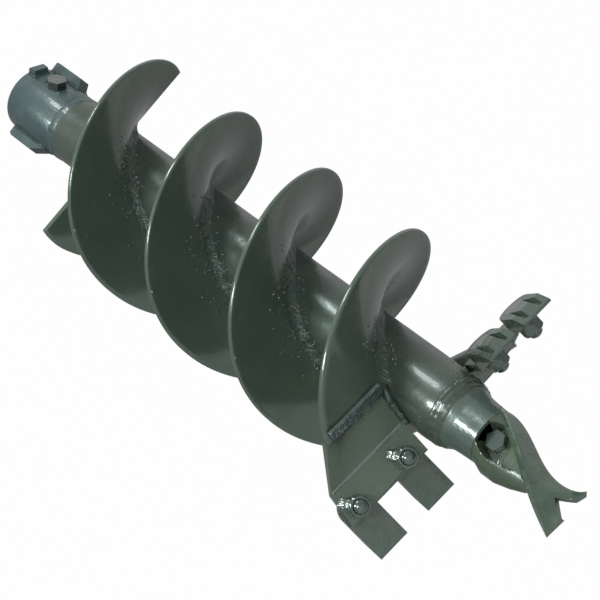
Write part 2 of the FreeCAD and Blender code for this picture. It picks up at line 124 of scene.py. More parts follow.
# ------------------------------------------------------------------ materials
def enamel(name, base=(0.014, 0.018, 0.0155), dust=(0.05, 0.058, 0.044), rough=(0.10, 0.24),
           dust_amount=0.35, peel=0.10, grain=60.0, coat=0.25, ior=1.5):
    """Gloss black-green enamel over steel: dust film, brush and spray texture, dull patches.

    grain is the texture's frequency, peel the depth of its bump, rough the range of roughness.
    """
    mat = bpy.data.materials.new(name)
    mat.use_nodes = True
    tree = mat.node_tree
    shader = tree.nodes["Principled BSDF"]
    where = tree.nodes.new("ShaderNodeTexCoord")

    def noise_node(scale, detail=4.0, roughness=0.55):
        node = tree.nodes.new("ShaderNodeTexNoise")
        node.inputs["Scale"].default_value = scale
        node.inputs["Detail"].default_value = detail
        node.inputs["Roughness"].default_value = roughness
        tree.links.new(where.outputs["Object"], node.inputs["Vector"])
        return node.outputs["Fac"]

    def ramp(source, low, high, start, end):
        node = tree.nodes.new("ShaderNodeMapRange")
        node.inputs["From Min"].default_value = start
        node.inputs["From Max"].default_value = end
        node.inputs["To Min"].default_value = low
        node.inputs["To Max"].default_value = high
        tree.links.new(source, node.inputs["Value"])
        return node.outputs["Result"]

    film = noise_node(grain * 0.35, 6.0, 0.62)
    mix = tree.nodes.new("ShaderNodeMix")
    mix.data_type = "RGBA"
    tree.links.new(ramp(film, 0.0, dust_amount, 0.42, 0.72), mix.inputs["Factor"])
    mix.inputs["A"].default_value = (*base, 1)
    mix.inputs["B"].default_value = (*dust, 1)
    speck = tree.nodes.new("ShaderNodeMix")
    speck.data_type = "RGBA"
    tree.links.new(ramp(noise_node(grain * 14, 3.0), 0.0, 0.5, 0.66, 0.74), speck.inputs["Factor"])
    tree.links.new(mix.outputs["Result"], speck.inputs["A"])
    speck.inputs["B"].default_value = (*[c * 1.7 for c in dust], 1)
    tree.links.new(speck.outputs["Result"], shader.inputs["Base Color"])
    dull = ramp(noise_node(grain * 0.6, 5.0), rough[0], rough[1], 0.35, 0.68)
    tree.links.new(dull, shader.inputs["Roughness"])

    coarse = tree.nodes.new("ShaderNodeBump")
    coarse.inputs["Strength"].default_value = peel
    coarse.inputs["Distance"].default_value = 0.004
    tree.links.new(noise_node(grain * 1.1, 3.0), coarse.inputs["Height"])
    fine = tree.nodes.new("ShaderNodeBump")
    fine.inputs["Strength"].default_value = peel * 0.8
    fine.inputs["Distance"].default_value = 0.0006
    tree.links.new(noise_node(grain * 7.0, 2.0), fine.inputs["Height"])
    tree.links.new(coarse.outputs["Normal"], fine.inputs["Normal"])
    tree.links.new(fine.outputs["Normal"], shader.inputs["Normal"])
    shader.inputs["IOR"].default_value = ior
    shader.inputs["Specular Tint"].default_value = (0.82, 1.0, 0.95, 1)
    shader.inputs["Coat Weight"].default_value = coat
    shader.inputs["Coat Roughness"].default_value = 0.06
    return mat


PAINT = enamel("enamel_tube", base=(0.020, 0.030, 0.024), rough=(0.24, 0.40), peel=0.10,
               coat=0.15)
# Lighter base than the tube's enamel: a painted highlight standing in for the sheen on the nose's
# neck.
PAINT_NOSE = enamel("enamel_nose", base=(0.035, 0.052, 0.046), rough=(0.24, 0.40), peel=0.16,
                    grain=90.0, coat=0.3)
# Bluish dust film, laid on thickly: partly dust, partly a painted reflection of a blue sky.
PAINT_HUB = enamel("enamel_hub", base=(0.015, 0.029, 0.031), dust=(0.034, 0.050, 0.054),
                   rough=(0.32, 0.52), peel=0.16, grain=95.0, dust_amount=0.60, coat=0.2)
PAINT_BOLT = enamel("enamel_bolt", base=(0.008, 0.015, 0.013), dust=(0.021, 0.033, 0.026),
                    rough=(0.06, 0.14), peel=0.20, grain=140.0, coat=1.0)
PAINT_BLADE = enamel("enamel_blade", base=(0.025, 0.042, 0.028), dust=(0.066, 0.097, 0.060),
                     rough=(0.16, 0.36), peel=0.28, grain=100.0, dust_amount=0.6)
PAINT_PLATE = enamel("enamel_plate", base=(0.025, 0.039, 0.025), dust=(0.052, 0.077, 0.047),
                     rough=(0.20, 0.34), peel=0.12, grain=70.0)
PAINT_TACK = enamel("enamel_tack", base=(0.035, 0.052, 0.045), rough=(0.22, 0.30), peel=0.08,
                    grain=120.0, coat=0.6)
PAINT_DROP = enamel("enamel_drop", base=(0.028, 0.042, 0.034), rough=(0.10, 0.16), peel=0.05,
                    grain=150.0, coat=1.0)
# Lighter base than the tube's enamel: painted fill light on the flights' faces, which lie in each
# other's shade.
PAINT_FLIGHT = enamel("enamel_flight", base=(0.030, 0.046, 0.035), peel=0.10, grain=45.0,
                      dust=(0.050, 0.075, 0.050), dust_amount=0.36, rough=(0.14, 0.30))
PAINT_WELD = enamel("enamel_weld", base=(0.018, 0.029, 0.024), rough=(0.10, 0.22), peel=0.45,
                    grain=210.0, coat=0.0, ior=1.36)
PAINT_STRAP = enamel("enamel_strap", base=(0.028, 0.048, 0.052), rough=(0.07, 0.18), peel=0.75,
                     grain=170.0, coat=0.8)
PAINT_TOOTH = enamel("enamel_tooth", base=(0.021, 0.035, 0.027), rough=(0.16, 0.32), peel=0.22,
                     grain=90.0, dust_amount=0.5)
PAINT_FAST = enamel("enamel_fastener", base=(0.021, 0.033, 0.028), rough=(0.07, 0.2), peel=0.12,
                    grain=120.0, coat=0.5)
PAINT_SOCKET = enamel("enamel_socket", base=(0.031, 0.044, 0.029), rough=(0.14, 0.28), peel=0.16,
                      grain=80.0, dust=(0.056, 0.079, 0.048), dust_amount=0.5)
PAINT_CREASE = enamel("enamel_crease", base=(0.052, 0.081, 0.071), rough=(0.08, 0.2), peel=0.2,
                      grain=120.0, coat=0.6)


# ------------------------------------------------------------------ mesh helpers
def wobble(x, y, z, scale):
    """Smooth fixed noise, about -1..1."""
    return noise.noise(Vector((x, y, z)) * scale)


def skin(rings, loop=False):
    """Faces joining equal rings of vertices; ends capped, or joined up when loop is set."""
    verts = [v for ring in rings for v in ring]
    size = len(rings[0])
    faces = []
    last = len(rings) if loop else len(rings) - 1
    for i in range(last):
        a = i * size
        b = ((i + 1) % len(rings)) * size
        for k in range(size):
            n = (k + 1) % size
            faces.append((a + k, a + n, b + n, b + k))
    if not loop:
        faces.append(tuple(reversed(range(size))))
        end = (len(rings) - 1) * size
        faces.append(tuple(range(end, end + size)))
    return verts, faces


def bead(path, radius, squash, ups, sides=10, pitch=4.0, rough=0.12, seed=0.0, loop=False):
    """Weld bead along a path: stacked ripples with uneven width. Returns verts, faces."""
    rings = []
    run = 0.0
    count = len(path)
    for i, point in enumerate(path):
        before = path[(i - 1) % count] if loop or i else path[i]
        after = path[(i + 1) % count] if loop or i + 1 < count else path[i]
        along = (after - before).normalized()
        side = along.cross(ups[i]).normalized()
        up = side.cross(along).normalized()
        if i:
            run += (point - path[i - 1]).length
        phase = (run / pitch + 0.35 * wobble(run, seed, 1.0, 0.11)) % 1.0
        scale = 0.90 + 0.16 * math.sin(math.pi * phase) ** 0.7
        scale += rough * wobble(run, seed, 3.0, 0.23)
        if not loop and (i == 0 or i == count - 1):
            scale *= 0.45
        ring = []
        for k in range(sides):
            a = 2 * math.pi * k / sides
            r = radius * scale * (1 + 0.10 * wobble(run, a * 3.0 + seed, 7.0, 0.4))
            ring.append(point + side * (r * math.cos(a)) + up * (r * squash * math.sin(a)))
        rings.append(ring)
    return skin(rings, loop=loop)


def joined(parts):
    """One mesh from several (verts, faces)."""
    verts = []
    faces = []
    for v, f in parts:
        base = len(verts)
        verts.extend(v)
        faces.extend(tuple(base + i for i in face) for face in f)
    return verts, faces


def polar(radius, azimuth, z):
    """Point at a radius, azimuth in degrees and height."""
    a = math.radians(azimuth)
    return Vector((radius * math.cos(a), radius * math.sin(a), z))


def ring_at(centre, axis, across, other, z, radii):
    """Ring of points at height z along axis, one for each radius, evenly round it."""
    steps = len(radii)
    return [centre + axis * z + across * (r * math.cos(2 * math.pi * i / steps))
            + other * (r * math.sin(2 * math.pi * i / steps)) for i, r in enumerate(radii)]


# ------------------------------------------------------------------ flights
FLIGHTS = (  # node, start azimuth, first and last turning angle, azimuth of the end's trim line
    ("flight_a_upper", A_START, 0.0, SEAM_A_UPPER, None),
    ("flight_a_middle", A_START, SEAM_A_UPPER, SEAM_A_LOWER, None),
    ("flight_a_lower", A_START, SEAM_A_LOWER, None, A_TRIM),
    ("flight_b_upper", B_START, 0.0, SEAM_B, None),
    ("flight_b_lower", B_START, SEAM_B, None, B_TRIM),
)


def end_turn(start, radius, trim):
    """Turning angle where a helix at this radius meets the straight trimmed end."""
    back = math.degrees(math.asin(min(TRIM_BACK / radius, 0.999)))
    return (start - trim - back) % 360 + 360


def face_z(turn):
    """Height of a flight's mid-plane at a turning angle."""
    return FLIGHT_TOP - LEAD * turn / 360.0


def flight_dent(radius, turn):
    """Stretch marks near the root and slow waves towards the rim, mm along the axis."""
    near = math.exp(-(radius - TUBE_R) / 16.0)
    fold = 0.55 * near * math.sin(math.radians(turn * 9.0) + 2.0 * wobble(turn, 0, 0, 0.02))
    wave = 0.7 * (radius / RIM_R) ** 2 * wobble(turn, radius * 0.4, 5.0, 0.018)
    return fold * 0.6 + wave


def rim_slack(azimuth):
    """The pressed flight is slightly smaller on one side: 0..1 round the axis."""
    return max(0.0, math.cos(math.radians(azimuth - 212.0))) ** 3


def flight(node, start, first, last, trim):
    """One pressed section of a flight, with a rounded rim and its end trimmed straight."""
    lower = []
    for i in range(19):
        lower.append((TUBE_R + 0.2 + (RIM_R - 1.3 - TUBE_R) * i / 18.0, -PLATE / 2))
    rim = [(RIM_R - 0.35, -PLATE / 2 + 0.5), (RIM_R, -PLATE / 2 + 1.4), (RIM_R, PLATE / 2 - 1.4),
           (RIM_R - 0.35, PLATE / 2 - 0.5)]
    section = lower + rim + [(r, -z) for r, z in reversed(lower)]
    stop = last if last is not None else end_turn(start, RIM_R, trim)
    count = int((stop - first) / 1.8) + 2
    corner = 5.0 if node == "flight_b_upper" else 2.0
    rings = []
    for i in range(count):
        share = i / (count - 1)
        turn = first + (stop - first) * share
        ring = []
        for radius, lift in section:
            here = turn
            if trim is not None:
                pull = max(0.0, (turn - (stop - 60.0)) / 60.0)
                here += pull * pull * (end_turn(start, radius, trim) - stop)
            azimuth = start - here
            z = face_z(here) + lift + flight_dent(radius, here)
            outer = (radius - TUBE_R) / (RIM_R - TUBE_R)
            slack = RIM_SLACK * rim_slack(azimuth)
            if first == 0.0:
                slack += corner * max(0.0, 1.0 - turn / 16.0) ** 2
            ring.append(polar(radius - slack * outer * outer, azimuth, z))
        rings.append(ring)
    verts, faces = skin(rings)
    piece(node + "_plate", verts, faces, PAINT_FLIGHT, replaces=[node], sharp=50)


def fillet(name, start, first, last, side, seed):
    """Broad, lumpy fillet weld between a flight's face and the tube."""
    cols = 9
    rings = []
    turn = first
    while turn < last:
        azimuth = start - turn
        run = TUBE_R * math.radians(turn) * 1.9
        foot = face_z(turn) + side * PLATE / 2
        on_tube = 10.5 * (1 + 0.22 * wobble(run, seed, 0.0, 0.10))
        on_face = 9.5 * (1 + 0.25 * wobble(run, seed, 9.0, 0.12))
        ripple = abs(math.sin(math.pi * (run / 5.2 + 0.4 * wobble(run, seed, 4.0, 0.08))))
        ring = []
        for k in range(cols + 1):
            v = k / cols
            hump = math.sin(math.pi * v)
            lift = hump * (0.3 * ripple - 2.4) + 0.8 * hump * wobble(run, v * 9.0, seed, 0.36)
            radius = TUBE_R - 0.25 + on_face * v + lift * 0.7
            z = foot + side * (on_tube * (1 - v) + lift * 0.7 - 0.25)
            ring.append(polar(radius, azimuth, z))
        ring.append(polar(TUBE_R + on_face * 0.5, azimuth, foot - side * 1.4))
        ring.append(polar(TUBE_R - 1.4, azimuth, foot - side * 1.4))
        rings.append(ring)
        turn += 0.7
    piece(name, *skin(rings), PAINT_WELD, sharp=70)


def seam_end(name, start, turn, seed):
    """Butt weld between two flight sections is ground flush; only its end shows at the rim."""
    azimuth = start - turn
    rim = RIM_R - RIM_SLACK * rim_slack(azimuth) - 2.5
    dot = [polar(rim, azimuth, face_z(turn) - PLATE / 2 - 0.4 + 0.9 * i) for i in range(7)]
    ups = [polar(1.0, azimuth, 0.0)] * len(dot)
    piece(name, *bead(dot, 2.0, 0.9, ups, pitch=9.0, rough=0.3, seed=seed), PAINT_DROP,
          sharp=60)


for spec in FLIGHTS:
    flight(*spec)
for lead_name, start, trim in (("a", A_START, A_TRIM), ("b", B_START, B_TRIM)):
    stop = end_turn(start, TUBE_R, trim)
    fillet("weld_%s_pilot_side" % lead_name, start, 1.0, stop - 2, -1, 3.0 + start)
    fillet("weld_%s_hub_side" % lead_name, start, 1.0, stop - 14, 1, 9.0 + start)
for seam_name, start, turn in (("seam_a_upper", A_START, SEAM_A_UPPER),
                               ("seam_a_lower", A_START, SEAM_A_LOWER),
                               ("seam_b", B_START, SEAM_B)):
    seam_end(seam_name, start, turn, seed=turn)


# ------------------------------------------------------------------ ring welds
def turned(name, nodes, profile, inner, material, steps=132, uneven=0.22, grain=0.05):
    """Tube with a slightly uneven skin: outer profile of (z, radius), plain bore."""
    rings = []
    for i in range(steps):
        azimuth = 360.0 * i / steps
        a = math.radians(azimuth)
        ring = []
        for z, radius in profile:
            dent = uneven * wobble(math.cos(a) * 30, math.sin(a) * 30, z * 0.6, grain)
            ring.append(polar(radius + dent, azimuth, z))
        ring.append(polar(inner, azimuth, profile[-1][0]))
        ring.append(polar(inner, azimuth, profile[0][0]))
        rings.append(ring)
    piece(name, *skin(rings, loop=True), material, replaces=nodes, sharp=50)


def graded(points, step):
    """Profile points joined by short straight steps, for an even mesh."""
    line = []
    for (z0, r0), (z1, r1) in zip(points, points[1:]):
        count = max(1, int(abs(z1 - z0) / step))
        line += [(z0 + (z1 - z0) * i / count, r0 + (r1 - r0) * i / count) for i in range(count)]
    return line + [points[-1]]


# profiles of (z, radius), from the hub end down
HUB_WELD_PROFILE = ((-78.0, 35.4), (-79.5, 35.75), (-82.0, 35.9), (-85.0, 35.6), (-88.5, 34.9))
RING_PROFILE = ((-668.5, 34.1), (-670.0, 34.9), (-672.5, 34.6), (-674.6, 33.5), (-676.0, 33.7),
                (-678.0, 33.0), (-680.0, 31.6), (-681.4, 31.5), (-683.0, 30.6), (-684.5, 29.2))
TUBE_PROFILE = ((-82.3, 35.0), (-660.0, 35.0), (-666.0, 34.7), (-671.0, 34.0), (-674.6, 33.1),
                (-676.4, 32.0))
NOSE_PROFILE = ((-676.9, 30.6), (-677.6, 31.6), (-679.4, 31.6), (-682.0, 30.6), (-686.0, 29.1),
                (-692.0, 27.8), (-704.0, 26.9), (-717.2, 26.2))
turned("tube_skin", ["core_tube"], graded(TUBE_PROFILE, 3.6), 29.0, PAINT)
turned("nose_skin", ["nose_cone"], graded(NOSE_PROFILE, 1.2), 22.0, PAINT_NOSE)
turned("hub_ring_weld", ["hub_weld"], graded(HUB_WELD_PROFILE, 0.9), 34.0, PAINT_HUB, uneven=0.45,
       grain=0.22)
turned("nose_ring_weld", ["nose_weld"], graded(RING_PROFILE, 0.7), 27.0, PAINT, steps=180,
       uneven=0.55, grain=0.22)


# ------------------------------------------------------------------ fasteners
def hex_rings(flats, high, steps=72):
    """Stacked outlines of a hexagon chamfered at both ends: (height, outline radii)."""
    stack = []
    for share in (0.0, 0.04, 0.09, 0.5, 0.80, 0.85, 0.90, 0.95, 1.0):
        z = high * share
        limit = min(flats / 2 * 0.92 + (high - z) * 1.2, flats / 2 * 0.985 + z * 1.6)
        row = []
        for i in range(steps):
            a = 2 * math.pi * i / steps
            off = (a + math.pi / 6) % (math.pi / 3) - math.pi / 6
            row.append(min(flats / 2 / math.cos(off), limit))
        stack.append((z, row))
    return stack


def hex_nut(centre, axis, toward, flats, high, bore):
    """Chamfered hexagon with a hole through it, standing on centre along axis."""
    axis = Vector(axis).normalized()
    across = Vector(toward).normalized()
    other = axis.cross(across)
    stack = hex_rings(flats, high)
    steps = len(stack[0][1])
    mouth = [bore + NUT_LIP] * steps
    wall = [bore] * steps
    levels = [(0.0, mouth)] + stack + [(high, mouth), (high - NUT_LIP, wall), (NUT_LIP, wall)]
    rings = [ring_at(centre, axis, across, other, z, radii) for z, radii in levels]
    return skin(rings, loop=True)


def threaded_end(centre, axis, toward, radius, long, pitch=2.0, dome=1.6, steps=36):
    """Bolt end with a painted-over screw thread and a domed tip."""
    axis = Vector(axis).normalized()
    across = Vector(toward).normalized()
    other = axis.cross(across)
    rings = []
    levels = int(long / (pitch / 8))
    for level in range(levels + 1):
        z = long * level / levels
        fade = min(1.0, (long - z) / 1.2)
        radii = []
        for i in range(steps):
            wave = 0.5 + 0.5 * math.cos(2 * math.pi * (z / pitch - i / steps))
            radii.append(radius - 0.45 * (1 - wave) * fade - 0.35 * (1 - fade))
        rings.append(ring_at(centre, axis, across, other, z, radii))
    for share in (0.93, 0.82, 0.62, 0.36, 0.12):
        z = long + dome * math.sqrt(1 - share * share)
        radii = [(radius - 0.5) * share] * steps
        rings.append(ring_at(centre, axis, across, other, z, radii))
    return skin(rings)


# ------------------------------------------------------------------ tooth holders
HOLDERS = {  # bend_out: outer end of the bend line; teeth: each bolt's distance from the axis
    "a": {"azimuth": HOLDER_AZIMUTH + 180, "bend_out": 114.0, "start": A_START, "trim": A_TRIM,
          "teeth": {"inner": 58.5, "outer": 102.0}},
    "b": {"azimuth": HOLDER_AZIMUTH, "bend_out": 130.0, "start": B_START, "trim": B_TRIM,
          "teeth": {"inner": 59.5, "outer": 119.5}},
}


def axes(azimuth):
    """A holder's level directions: out from the axis, and ahead in the digging direction."""
    out = polar(1.0, azimuth, 0.0)
    return out, Vector((out.y, -out.x, 0.0))


def hold_point(azimuth, out_mm, ahead_mm, z):
    """Point in a holder's own level directions."""
    out, ahead = axes(azimuth)
    return out * out_mm + ahead * ahead_mm + Vector((0, 0, z))


def seat_point(azimuth, out_mm, down_mm, lift_mm):
    """Point on a holder's sloping seat, from its bend line."""
    ahead_mm = BEND_AHEAD + down_mm * math.cos(SLOPE) + lift_mm * math.sin(SLOPE)
    z = BEND_Z - down_mm * math.sin(SLOPE) + lift_mm * math.cos(SLOPE)
    return hold_point(azimuth, out_mm, ahead_mm, z)


def seat_directions(azimuth):
    """A seat's directions: out, down the slope, and square to it."""
    out, ahead = axes(azimuth)
    down = ahead * math.cos(SLOPE) - Vector((0, 0, math.sin(SLOPE)))
    lift = ahead * math.sin(SLOPE) + Vector((0, 0, math.cos(SLOPE)))
    return out, down, lift


def run_between(a, b, step=1.1):
    """Evenly spaced points from a to b, both included."""
    count = max(2, int((b - a).length / step))
    return [a.lerp(b, i / count) for i in range(count + 1)]


def trimmed_edge(spec, radius, side):
    """Point on the trimmed end of a holder's flight, on the face given by side."""
    turn = end_turn(spec["start"], radius, spec["trim"])
    return polar(radius, spec["start"] - turn, face_z(turn) + side * PLATE / 2)


def strap_lines(spec):
    """A strap's two edges: along the flight's trimmed end, and set back from it."""
    edge = (trimmed_edge(spec, STRAP_IN, -1), trimmed_edge(spec, STRAP_OUT, -1))
    back = hold_point(spec["azimuth"], 0.0, -STRAP_WIDE, 0.0)
    return edge, (edge[0] + back, edge[1] + back)


def strap(line_a, line_b, normal, rise, name, seed):
    """Crowned, hammered weld overlay between two lines."""
    rows = 70
    cols = 14
    rings = []
    for i in range(rows + 1):
        u = i / rows
        a = line_a[0].lerp(line_a[1], u)
        b = line_b[0].lerp(line_b[1], u)
        top = []
        for k in range(cols + 1):
            v = k / cols
            lumps = wobble(u * 26, v * 4, seed, 1.0) + 0.6 * wobble(u * 60, v * 12, seed, 1.0)
            ridge = 0.9 * (math.exp(-((v - 0.1) / 0.07) ** 2) + math.exp(-((v - 0.9) / 0.07) ** 2))
            crown = rise * (1 - (2 * v - 1) ** 4) + 0.6 * lumps + ridge
            edge = 0.0 if k in (0, cols) else 1.0
            top.append(a.lerp(b, v) + normal * (crown * edge))
        under = [a.lerp(b, k / cols) - normal * 1.6 for k in range(cols, -1, -1)]
        rings.append(top + under)
    verts, faces = skin(rings)
    piece(name, verts, faces, PAINT_STRAP, sharp=60)


TACK = ((-0.8, -0.6), (-0.8, 8.0), (0.4, 7.8), (3.6, 5.3), (4.1, 4.3), (4.9, 4.5), (8.6, 1.5),
        (9.3, 0.3), (9.2, -0.6))        # two-run fillet: distance from the nut, height


def tack(name, foot, away, up, long, seed):
    """Short two-run fillet weld that locks a nut to the plate."""
    along = up.cross(away).normalized()
    rings = []
    for i in range(15):
        share = i / 14
        full = math.sqrt(max(0.0, 1 - (2 * share - 1) ** 6)) * 0.85 + 0.15
        base = foot + along * (long * (share - 0.5))
        ring = []
        for k, (far, high) in enumerate(TACK):
            lump = 1 + 0.10 * wobble(i * 0.6, k * 0.9, seed, 1.0)
            ring.append(base + away * (far * full * lump) + up * (high * full * lump))
        rings.append(ring)
    piece(name, *skin(rings), PAINT_TACK, slot="fastener_enamel", sharp=40)


def root_welds(key, spec):
    """Strap and beads where a holder's upper edge meets the flight."""
    azimuth = spec["azimuth"]
    _, ahead = axes(azimuth)
    root_in = hold_point(azimuth, *ROOT_IN) + ahead * ROOT_GAP
    root_out = hold_point(azimuth, *ROOT_OUT) + ahead * ROOT_GAP
    edge, set_back = strap_lines(spec)
    strap(set_back, edge, Vector((0, 0, -1)), 1.3, "holder_%s_strap" % key, 4.0 + azimuth)
    beads = (("lower", root_in.lerp(root_out, 0.20), root_out, 5.0),
             ("upper", edge[0], edge[1], 8.0))
    for label, a, b, seed in beads:
        path = [p + Vector((0, 0, 0.5 * wobble(i, seed, 0, 0.12)))
                for i, p in enumerate(run_between(a, b))]
        ups = [Vector((0, 0, -1))] * len(path)
        piece("holder_%s_bead_%s" % (key, label),
              *bead(path, 2.6, 0.75, ups, pitch=4.4, rough=0.4, seed=seed), PAINT_WELD, sharp=60)
    return root_in


def tube_bead(key, azimuth, root_in):
    """Weld along the holder's inner edge, where it meets the tube."""
    path = []
    points = 40
    for i in range(points):
        point = root_in.lerp(seat_point(azimuth, SEAT_IN, 6.0, 0), i / (points - 1))
        flat = Vector((point.x, point.y, 0))
        path.append(flat.normalized() * (TUBE_R + 2.2) + Vector((0, 0, point.z + 2)))
    ups = [Vector((p.x, p.y, 0)).normalized() for p in path]
    piece("holder_%s_tube_bead" % key,
          *bead(path, 4.6, 0.8, ups, pitch=5.0, rough=0.35, seed=14.0), PAINT_WELD, sharp=60)


def bend_crease(key, azimuth, bend_out):
    """Slightly raised crease across the plate at its bend."""
    _, _, lift = seat_directions(azimuth)
    path = run_between(seat_point(azimuth, SEAT_IN + 2.0, 0, 0.4),
                       seat_point(azimuth, bend_out - 1.5, 0, 0.4))
    ups = [-(lift + Vector((0, 0, 1))).normalized()] * len(path)
    piece("holder_%s_crease" % key,
          *bead(path, 1.9, 0.5, ups, sides=8, pitch=60.0, rough=0.1, seed=2.0), PAINT_CREASE,
          sharp=60)


def tooth_fasteners(label, azimuth, out_mm):
    """Nut, its locking weld, the bolt's threaded end and the ring of paint at the nut's foot."""
    out, down, lift = seat_directions(azimuth)
    nut_at = seat_point(azimuth, out_mm, BOLT_ROW, -0.3)
    nut = hex_nut(nut_at, -lift, out, NUT_FLATS, NUT_HIGH, NUT_BORE)
    away = (out * 0.57 - down * 0.82).normalized()
    tack(label + "_tack", nut_at + away * TACK_AWAY, away, -lift, TACK_LONG, out_mm)
    end = threaded_end(seat_point(azimuth, out_mm, BOLT_ROW, -10.9), -lift, down, BOLT_R, 2.4,
                       dome=1.9)
    points = 90
    collar = [nut_at - lift * 0.5 + (down * math.cos(a) + out * math.sin(a)) * 9.8
              for a in (2 * math.pi * i / points for i in range(points))]
    ring = bead(collar, 0.9, 0.8, [-lift] * points, sides=8, pitch=9.0, rough=0.4, seed=out_mm,
                loop=True)
    piece(label + "_nut", *nut, PAINT_FAST, slot="fastener_enamel", sharp=32)
    piece(label + "_bolt_end", *end, PAINT_FAST, slot="fastener_enamel", sharp=60)
    piece(label + "_paint_ring", *ring, PAINT_FAST, slot="fastener_enamel", sharp=60)


for key, spec in HOLDERS.items():
    holder_root = root_welds(key, spec)
    tube_bead(key, spec["azimuth"], holder_root)
    bend_crease(key, spec["azimuth"], spec["bend_out"])
    for place, out_mm in spec["teeth"].items():
        tooth_fasteners("tooth_%s_%s" % (key, place), spec["azimuth"], out_mm)
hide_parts("tooth_nuts")    # the node holds all four


# ------------------------------------------------------------------ guard bars and lugs
GUARD_WELDS = (  # azimuth, half width of the plate, z of its lower and upper ends
    ("bar_0", 45.0, 7.0, -53.0, -3.6), ("bar_1", 225.0, 7.0, -66.0, -9.0),
    ("lug_0", 0.0, 8.5, -14.8, -3.2), ("lug_1", 180.0, 8.5, -14.8, -3.2),
)


def guard_weld(label, azimuth, half, z_low, z_high):
    """Bead down one side of a plate on the hub, under its foot and up the other side."""
    out = polar(1.0, azimuth, 0.0)
    side = Vector((-out.y, out.x, 0.0))
    seat = math.sqrt(HUB_R ** 2 - half ** 2)
    corners = [out * seat + side * (half * flip) + Vector((0, 0, z))
               for flip, z in ((-1, z_high), (-1, z_low), (1, z_low), (1, z_high))]
    path = []
    for a, b in zip(corners, corners[1:]):
        path += run_between(a, b)[:-1]
    path = [p + out * 0.4 for p in path]
    parts = bead(path, 1.9, 0.9, [out] * len(path), pitch=4.4, rough=0.3, seed=azimuth)
    piece("guard_%s_weld" % label, *parts, PAINT_WELD, sharp=60)


for spec in GUARD_WELDS:
    guard_weld(*spec)


# ------------------------------------------------------------------ weld spatter
def spatter(name, spots, seed):
    """Small painted-over drops of weld metal standing on a surface: (point, normal) spots."""
    parts = []
    chance = random.Random(seed)
    for point, normal in spots:
        radius = 0.50 + 0.70 * chance.random() ** 2
        across = normal.orthogonal().normalized()
        other = normal.cross(across)
        rings = []
        for level in range(5):
            tilt = math.radians(-20 + 24 * level)
            r = radius * 1.15 * math.cos(tilt)
            h = radius * (math.sin(tilt) + 0.22)
            rings.append(ring_at(point, normal, across, other, h, [r] * 8))
        parts.append(skin(rings))
    piece(name, *joined(parts), PAINT_DROP, sharp=80)


SEEN_AZIMUTH = -75.0                # spatter is only laid on the side that the photograph shows
SEEN_COS = 0.55


def seen_turns(chance, count, turn_range, start):
    """Random places along a flight's root weld: (turning angle, azimuth)."""
    for _ in range(count):
        turn = chance.uniform(*turn_range)
        azimuth = start - turn
        if math.cos(math.radians(azimuth - SEEN_AZIMUTH)) >= SEEN_COS:
            yield turn, azimuth


def tube_spots(seed, count, turn_range, start, side, spread):
    """Spots on the tube beside a flight's root weld."""
    chance = random.Random(seed)
    spots = []
    for turn, azimuth in seen_turns(chance, count, turn_range, start):
        away = 9.0 + spread * chance.random() ** 2
        spots.append((polar(TUBE_R, azimuth, face_z(turn) + side * away), polar(1.0, azimuth, 0.0)))
    return spots


def face_spots(seed, count, turn_range, start, side, spread):
    """Spots on a flight's face beside its root weld."""
    chance = random.Random(seed)
    spots = []
    for turn, azimuth in seen_turns(chance, count, turn_range, start):
        radius = TUBE_R + 9.0 + spread * chance.random() ** 2
        z = face_z(turn) + side * PLATE / 2 + flight_dent(radius, turn)
        spots.append((polar(radius, azimuth, z), Vector((0, 0, side))))
    return spots


def edge_spots(seed, line, normal, step):
    """Spots strung unevenly along a straight weld edge."""
    chance = random.Random(seed)
    start, end = line
    long = (end - start).length
    run = 2.0
    spots = []
    while run < long - 1:
        spots.append((start.lerp(end, run / long) + normal * 0.3, normal))
        run += step * chance.uniform(0.35, 1.5)
    return spots


def ring_spots(seed, count, radius, z_low, z_high):
    """Spots all round the tube between two heights."""
    chance = random.Random(seed)
    return [(polar(radius, a, chance.uniform(z_low, z_high)), polar(1.0, a, 0.0))
            for a in (chance.uniform(0, 360) for _ in range(count))]


for lead_name, start in (("a", A_START), ("b", B_START)):
    spatter("spatter_%s_tube" % lead_name,
            tube_spots(5, 380, (10, 640), start, -1, 16.0), 5)
    spatter("spatter_%s_face" % lead_name,
            face_spots(6, 420, (10, 640), start, -1, 22.0), 6)
for key, spec in HOLDERS.items():
    below = Vector((0, 0, -1))
    edge, set_back = strap_lines(spec)
    spatter("spatter_strap_%s" % key,
            edge_spots(11, edge, below, 3.2) + edge_spots(12, set_back, below, 3.2), 7)
spatter("spatter_nose", ring_spots(8, 60, 34.9, -672.0, -640.0), 8)


# ------------------------------------------------------------------ CAD nodes kept: edges and paint
def soften(name, width, angle=28, segments=2):
    """Small rounded edges on a kept CAD node, so its corners catch the light."""
    obj = NODES[name]
    weld = obj.modifiers.new("weld", "WELD")
    weld.merge_threshold = 0.00002
    bevel = obj.modifiers.new("edge", "BEVEL")
    bevel.width = width * MM
    bevel.segments = segments
    bevel.limit_method = "ANGLE"
    bevel.angle_limit = math.radians(angle)
    bevel.harden_normals = True


def paint(name, material):
    """Give a CAD node one material."""
    obj = NODES[name]
    obj.data.materials.clear()
    obj.data.materials.append(material)


